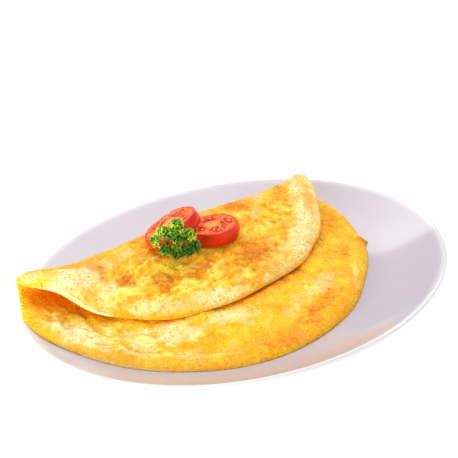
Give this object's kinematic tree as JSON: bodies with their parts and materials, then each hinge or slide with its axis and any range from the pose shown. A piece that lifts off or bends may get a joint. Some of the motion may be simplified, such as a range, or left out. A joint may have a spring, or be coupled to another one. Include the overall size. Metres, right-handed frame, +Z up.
{
  "type": "folded omelette on a plate",
  "caption": "Round dinner plate with a folded egg omelette, topped with tomato slices and a sprig of curly parsley.",
  "frame": {"origin": "on the plate's axis, at the bottom of its foot ring", "axes": "+Z up along the plate's axis, +X to the right and -Y towards the diner, who faces the open edge of the fold"},
  "size_m": [0.2698, 0.2698, 0.0615],
  "materials": {
    "porcelain": "gloss",
    "fried_egg": "satin",
    "tomato": "gloss",
    "parsley": "satin"
  },
  "bodies": {
    "root": {"plate": "porcelain", "omelette": "fried_egg", "tomato_slice_level": "tomato", "tomato_slice_leaning": "tomato", "parsley": "parsley"}
  },
  "joints": []
}
